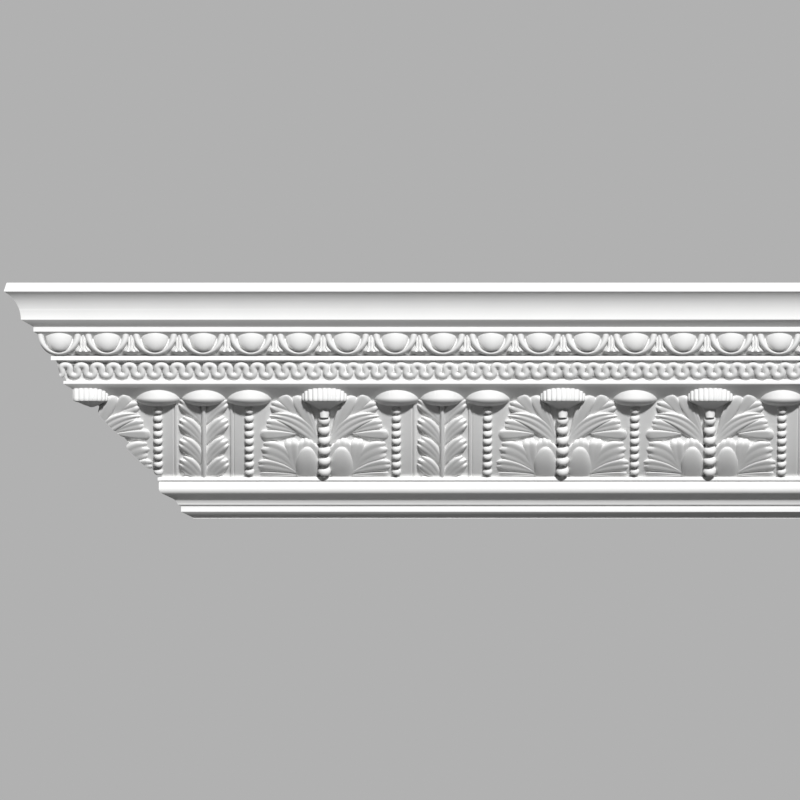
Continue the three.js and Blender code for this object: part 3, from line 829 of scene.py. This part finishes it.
def primed_white(finish):
    """Matte white primer: a fine grain in the bump, and a slight unevenness of colour and
    roughness."""
    material, nodes, links, shader = new_material("primed_white")
    shader.inputs["Specular IOR Level"].default_value = 0.25
    place = nodes.new("ShaderNodeTexCoord").outputs["Object"]
    cloud = noise(nodes, scale=28, detail=3)
    tint = nodes.new("ShaderNodeMix")
    tint.data_type = "RGBA"
    first, second = tint.inputs[6], tint.inputs[7]
    first.default_value = (*[0.97 * c for c in finish.white], 1)
    second.default_value = (*[min(1.02 * c, 1) for c in finish.white], 1)
    sheen = nodes.new("ShaderNodeMapRange")
    sheen.inputs["To Min"].default_value = finish.roughness - 0.06
    sheen.inputs["To Max"].default_value = finish.roughness + 0.08
    grain = noise(nodes, scale=1 / finish.grain, detail=4)
    grain.inputs["Roughness"].default_value = 0.6
    bump = nodes.new("ShaderNodeBump")
    bump.inputs["Strength"].default_value = 0.18
    bump.inputs["Distance"].default_value = 0.2 * MM
    for source, target in (
            (place, cloud.inputs["Vector"]), (place, grain.inputs["Vector"]),
            (cloud.outputs["Fac"], tint.inputs[0]), (cloud.outputs["Fac"], sheen.inputs["Value"]),
            (tint.outputs[2], shader.inputs["Base Color"]),
            (sheen.outputs["Result"], shader.inputs["Roughness"]),
            (grain.outputs["Fac"], bump.inputs["Height"]),
            (bump.outputs["Normal"], shader.inputs["Normal"])):
        links.new(source, target)
    return material


class CORNICE_OT_moulding(Operator):
    """Makes the carved moulding as one closed mesh in place of the plain solid"""
    bl_idname = "cornice.moulding"
    bl_label = "Moulding"

    def execute(self, context):
        sizes = context.scene.cornice
        section = Section(sizes.section)
        e = sizes.eggs
        left, right = -2 * OVERRUN, HIGH.x - LOW.x + 2 * OVERRUN      # from the crown's left tip
        count = int((right - left) / e.pitch) + 2
        places = LOW.x + e.start + e.pitch * np.arange(-1, count)
        lots = [[moved(egg(section, e), x) for x in places],
                [moved(shell(section, e), x) for x in places],
                [moved(dart(section, e), x + e.pitch / 2) for x in places],
                [ribbon(section, sizes.ribbon, left, right)],
                *frieze_solids(section, sizes.frieze)]
        points, triangles = join(lots, section)
        piece = add_mesh("cornice_moulding", points, triangles)
        piece.data.shade_smooth()
        softest_edge = math.radians(32)
        piece.data.set_sharp_from_angle(angle=softest_edge)
        piece.data.materials.append(primed_white(sizes.finish))
        print("cornice_moulding", len(triangles), "triangles")
        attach(piece, "root")
        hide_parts("cornice_length")
        return {"FINISHED"}


# Studio

def floor(studio):
    half = 1.6
    points = np.array([[x * half, y * half, LOW.z - studio.drop]
                       for x, y in ((-1, -1), (1, -1), (1, 1), (-1, 1))])
    plane = add_mesh("floor", points, np.array([[0, 1, 2], [0, 2, 3]]))
    material, _, _, shader = new_material("pale_floor")
    shader.inputs["Base Color"].default_value = (*studio.floor, 1)
    shader.inputs["Roughness"].default_value = 0.8
    plane.data.materials.append(material)


def room(studio):
    """The world is the backdrop's grey towards +Y, behind the moulding, and dimmer towards -Y."""
    world = bpy.data.worlds.new("room")
    world.use_nodes = True
    nodes, links = world.node_tree.nodes, world.node_tree.links
    direction = nodes.new("ShaderNodeTexCoord")
    split = nodes.new("ShaderNodeSeparateXYZ")
    level = nodes.new("ShaderNodeMapRange")
    level.interpolation_type = "SMOOTHSTEP"
    level.inputs["From Min"].default_value = 0.8
    level.inputs["From Max"].default_value = 0.9
    level.inputs["To Min"].default_value = studio.room
    level.inputs["To Max"].default_value = studio.backdrop
    links.new(direction.outputs["Generated"], split.inputs["Vector"])
    links.new(split.outputs["Y"], level.inputs["Value"])
    links.new(level.outputs["Result"], nodes["Background"].inputs["Color"])
    bpy.context.scene.world = world


def key_light(studio):
    light = bpy.data.lights.new("key", "SUN")
    light.energy = studio.key
    light.angle = math.radians(3)
    lamp = bpy.data.objects.new("key", light)
    lamp.rotation_euler = (math.pi / 2 - studio.key_height, 0, studio.key_side)
    bpy.context.scene.collection.objects.link(lamp)


def camera():
    """A long lens, level and square to the wall, so that the length shows as an elevation. The
    view is as wide as view_width at the face's depth."""
    view_width, face = 0.67086, 0.08
    centre_x, centre_z = -0.0036, 0.0798
    data = bpy.data.cameras.new("camera")
    data.sensor_width = 36
    data.lens = 1500
    data.clip_end = 60
    distance = view_width * data.lens / data.sensor_width
    body = bpy.data.objects.new("camera", data)
    body.location = (centre_x, -distance - face, centre_z)
    body.rotation_euler = (math.pi / 2, 0, 0)
    bpy.context.scene.collection.objects.link(body)
    bpy.context.scene.camera = body


class CORNICE_OT_studio(Operator):
    """Makes the floor, the light and the camera"""
    bl_idname = "cornice.studio"
    bl_label = "Studio"

    def execute(self, context):
        studio = context.scene.cornice.studio
        floor(studio)
        room(studio)
        key_light(studio)
        camera()
        context.scene.view_settings.view_transform = "Standard"
        return {"FINISHED"}


class CORNICE_PT_panel(Panel):
    """Sizes and operators of the cornice moulding"""
    bl_idname = "CORNICE_PT_panel"
    bl_label = "Cornice"
    bl_space_type = "VIEW_3D"
    bl_region_type = "UI"
    bl_category = "Cornice"

    def draw(self, context):
        sizes = context.scene.cornice
        for part in (sizes.section, sizes.eggs, sizes.ribbon, sizes.frieze, sizes.finish,
                     sizes.studio):
            box = self.layout.box()
            for name in part.bl_rna.properties.keys():
                if name not in ("rna_type", "name"):
                    box.prop(part, name)
        for operator in (CORNICE_OT_moulding, CORNICE_OT_studio):
            self.layout.operator(operator.bl_idname)


CLASSES = (CORNICE_PG_section, CORNICE_PG_eggs, CORNICE_PG_ribbon, CORNICE_PG_frieze,
           CORNICE_PG_finish, CORNICE_PG_studio, CORNICE_PG_sizes, CORNICE_OT_moulding,
           CORNICE_OT_studio, CORNICE_PT_panel)


def register():
    for item in CLASSES:
        bpy.utils.register_class(item)
    bpy.types.Scene.cornice = group(CORNICE_PG_sizes, "Cornice", "Sizes and colours")


def unregister():
    del bpy.types.Scene.cornice
    for item in reversed(CLASSES):
        bpy.utils.unregister_class(item)


def main():
    register()
    bpy.ops.cornice.moulding()
    bpy.ops.cornice.studio()


if __name__ == "__main__":
    main()
